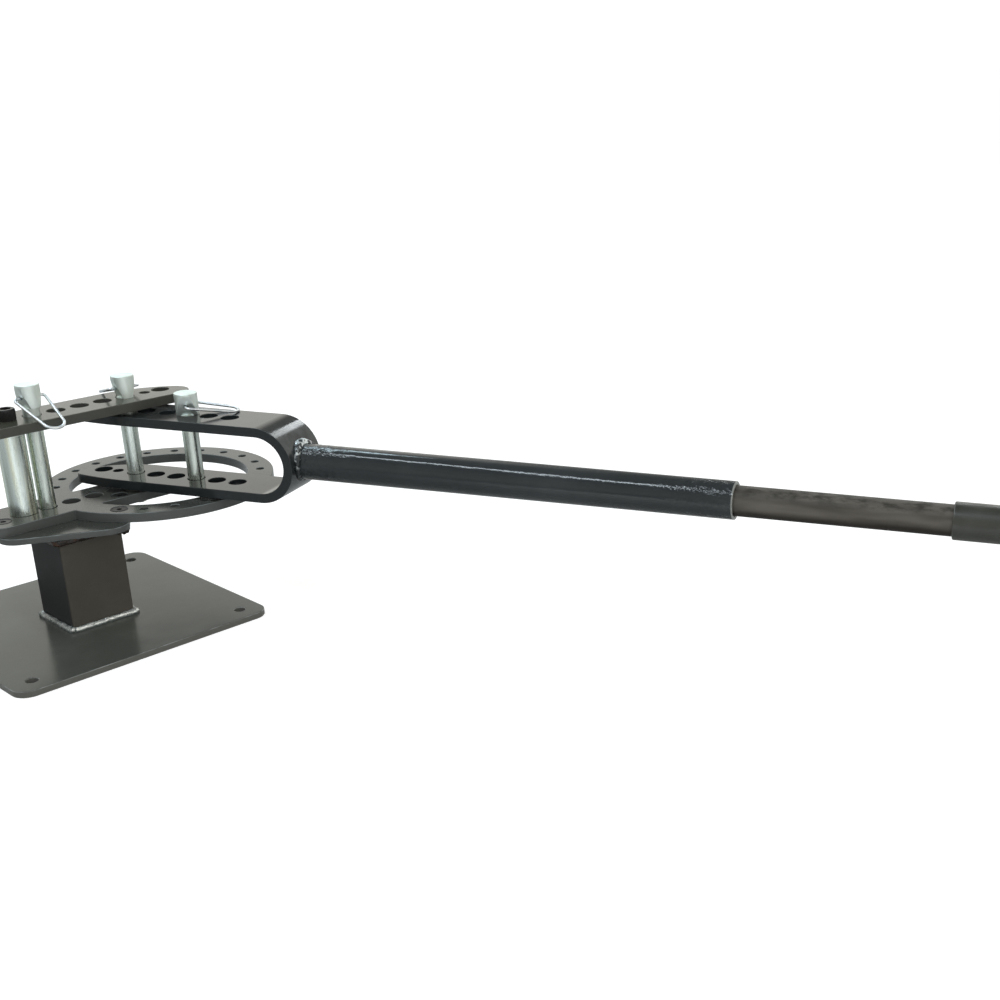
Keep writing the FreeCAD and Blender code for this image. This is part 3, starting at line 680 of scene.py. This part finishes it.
FLOOR_HALF_WIDTH = 30.0
FLOOR_GLOW = 0.72
BACKGROUND_STRENGTH = 1.12
CAMERA_PLACE = (-0.718, -1.6011, 0.6973)
CAMERA_YAW = math.radians(49.67)
CAMERA_PITCH = math.radians(21.48)
CAMERA_ROLL = math.radians(-0.13)
CAMERA_LENS = 48.81
CAMERA_SHIFT = (-0.1803, 0.0668)


def floor_plane():
    """A pale floor that throws back half the light, and that looks white from anywhere."""
    shape = bmesh.new()
    bmesh.ops.create_grid(shape, x_segments=1, y_segments=1, size=FLOOR_HALF_WIDTH)
    mesh = bpy.data.meshes.new("floor")
    shape.to_mesh(mesh)
    shape.free()
    plane = bpy.data.objects.new("floor", mesh)
    bpy.context.scene.collection.objects.link(plane)
    material, tree, shader = new_material("pale_floor")[:3]
    shader.inputs["Base Color"].default_value = (0.5, 0.5, 0.5, 1.0)
    shader.inputs["Roughness"].default_value = 0.9
    shader.inputs["Specular IOR Level"].default_value = 0.1
    seen = add_node(tree, "ShaderNodeLightPath").outputs["Is Camera Ray"]
    tree.links.new(seen, shader.inputs["Emission Color"])
    shader.inputs["Emission Strength"].default_value = FLOOR_GLOW
    mesh.materials.append(material)


def softbox(name, place, aim, size, power, colour, turn=0.0):
    lamp = bpy.data.lights.new(name, "AREA")
    lamp.shape = "RECTANGLE"
    lamp.size, lamp.size_y = size
    lamp.energy = power
    lamp.color = colour
    holder = bpy.data.objects.new(name, lamp)
    bpy.context.scene.collection.objects.link(holder)
    holder.location = place
    holder.rotation_mode = "QUATERNION"
    facing = (Vector(aim) - Vector(place)).to_track_quat("-Z", "Y")
    holder.rotation_quaternion = facing @ Quaternion((0.0, 0.0, 1.0), turn)


def floor_pool(place, width, power):
    """A round patch of light on the floor, which the upright pins mirror down their middles."""
    lamp = bpy.data.lights.new("pool_before_pins", "SPOT")
    lamp.energy = power
    lamp.spot_size = 2.0 * math.atan(width / 2.0 / place[2])
    lamp.spot_blend = 0.9
    lamp.shadow_soft_size = 0.1
    holder = bpy.data.objects.new("pool_before_pins", lamp)
    bpy.context.scene.collection.objects.link(holder)
    holder.location = place


def studio_world():
    """Bright walls and a dim ceiling, with less light from the left and a white background."""
    world = bpy.data.worlds.new("studio")
    world.use_nodes = True
    tree = world.node_tree
    sky = tree.nodes["Background"]
    look = split(tree, add_node(tree, "ShaderNodeTexCoord").outputs["Generated"])
    wall = spread(tree, look["Z"], 0.22, 0.42, 1.34, 1.08)
    ceiling = spread(tree, look["Z"], 0.5, 0.88, 1.0, 0.28)
    left = spread(tree, look["X"], -0.85, -0.05, 0.5, 1.0)
    aside = combine(tree, "SUBTRACT", look["X"], look["Y"])
    corner_near = spread(tree, aside, -0.22, -0.02, 1.0, 0.35)
    corner_far = spread(tree, aside, 0.2, 0.38, 0.0, 1.0)
    for ramp in (wall, ceiling, left, corner_near, corner_far):
        ramp.interpolation_type = "SMOOTHSTEP"
    behind = spread(tree, look["Y"], 0.1, 0.35, 1.0, 0.0)
    corner = combine(tree, "MAXIMUM", corner_near.outputs[0], corner_far.outputs[0])
    corner = combine(tree, "MAXIMUM", corner, behind.outputs[0])
    light = combine(tree, "MULTIPLY", wall.outputs[0], ceiling.outputs[0])
    light = combine(tree, "MULTIPLY", light, corner)
    light = combine(tree, "MULTIPLY", light, left.outputs[0])
    seen = add_node(tree, "ShaderNodeLightPath").outputs["Is Camera Ray"]
    light = combine(tree, "MAXIMUM", light, combine(tree, "MULTIPLY", seen, BACKGROUND_STRENGTH))
    tree.links.new(light, sky.inputs["Strength"])
    sky.inputs["Color"].default_value = (1.0, 0.99, 0.93, 1.0)
    bpy.context.scene.world = world


def photograph_camera():
    """The camera that was fitted to the photograph."""
    ahead = math.cos(CAMERA_PITCH)
    forward = Vector((math.sin(CAMERA_YAW) * ahead, math.cos(CAMERA_YAW) * ahead, -math.sin(CAMERA_PITCH)))
    level = Vector((math.cos(CAMERA_YAW), -math.sin(CAMERA_YAW), 0.0))
    down = forward.cross(level)
    right = level * math.cos(CAMERA_ROLL) + down * math.sin(CAMERA_ROLL)
    up = level * math.sin(CAMERA_ROLL) - down * math.cos(CAMERA_ROLL)
    camera = bpy.data.objects.new("camera", bpy.data.cameras.new("camera"))
    bpy.context.scene.collection.objects.link(camera)
    turn = Matrix((right, up, -forward)).transposed()
    camera.matrix_world = Matrix.Translation(CAMERA_PLACE) @ turn.to_4x4()
    camera.data.sensor_width = 36.0
    camera.data.lens = CAMERA_LENS
    camera.data.shift_x, camera.data.shift_y = CAMERA_SHIFT
    camera.data.clip_start = 0.02
    bpy.context.scene.camera = camera


floor_plane()
studio_world()
# The first draws the light line along the handle, the second the one round the yoke's bend
softbox(
    "strip_over_handle", (-0.8, -0.1, 2.5), (-0.8, -0.1, 0.0), (0.2, 2.4), 30.0, (0.82, 0.92, 1.0),
    math.radians(-10.0))
softbox(
    "strip_at_back", (4.75, 1.69, 3.64), (0.2, -0.15, 0.2), (1.4, 0.28), 18.0, (0.92, 0.97, 1.0))
softbox(
    "soft_over_yoke", (0.51, 1.44, 2.19), (0.22, -0.21, 0.2), (0.9, 0.36), 13.0, (0.7, 0.9, 1.0))
floor_pool((-0.3, -0.95, 2.2), 1.5, 310.0)
photograph_camera()
bpy.context.scene.view_settings.view_transform = "Standard"
